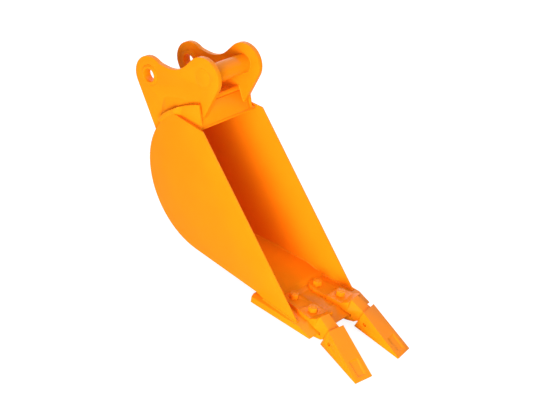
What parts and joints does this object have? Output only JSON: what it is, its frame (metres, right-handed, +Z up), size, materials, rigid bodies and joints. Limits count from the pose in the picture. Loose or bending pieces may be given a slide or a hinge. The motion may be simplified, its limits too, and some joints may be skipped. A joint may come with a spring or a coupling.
{
  "type": "excavator trenching bucket",
  "caption": "Narrow excavator trenching bucket with tapered sides, rolled back, boxed top, hanger ears, cross bar and splayed pinned teeth on bolted adapters.",
  "frame": {"origin": "bottom centre of the bounding box, on the ground that the tooth tips and the heel stand on", "axes": "+X the digging direction, towards the teeth; +Y the bucket's left, across its width; +Z up from the ground"},
  "size_m": [0.9224, 0.244, 0.5219],
  "materials": {
    "body_paint": "satin orange paint on welded steel plate",
    "ear_paint": "satin orange paint on thick cut plate and turned steel",
    "lip_paint": "satin orange paint on the wear plate",
    "tooth_paint": "satin orange paint on cast and forged steel",
    "bolt_paint": "satin orange paint on fasteners"
  },
  "bodies": {
    "root": {"floor_and_back": "body_paint", "side_plate_left": "body_paint", "side_plate_right": "body_paint", "top_plate": "body_paint", "box_cover": "body_paint", "box_front_plate": "body_paint", "box_end_cap_left": "body_paint", "box_end_cap_right": "body_paint", "ear_left": "ear_paint", "ear_right": "ear_paint", "rear_pin_bush_left": "ear_paint", "rear_pin_bush_right": "ear_paint", "front_cross_bar": "ear_paint", "lip_plate": "lip_paint", "adapter_left": "tooth_paint", "adapter_right": "tooth_paint", "tooth_left": "tooth_paint", "tooth_right": "tooth_paint", "tooth_pin_left": "bolt_paint", "tooth_pin_right": "bolt_paint", "plow_bolt_front_left": "bolt_paint", "plow_bolt_front_right": "bolt_paint", "plow_bolt_rear_left": "bolt_paint", "plow_bolt_rear_right": "bolt_paint", "nut_front_left": "bolt_paint", "nut_front_right": "bolt_paint", "nut_rear_left": "bolt_paint", "nut_rear_right": "bolt_paint"}
  },
  "joints": []
}
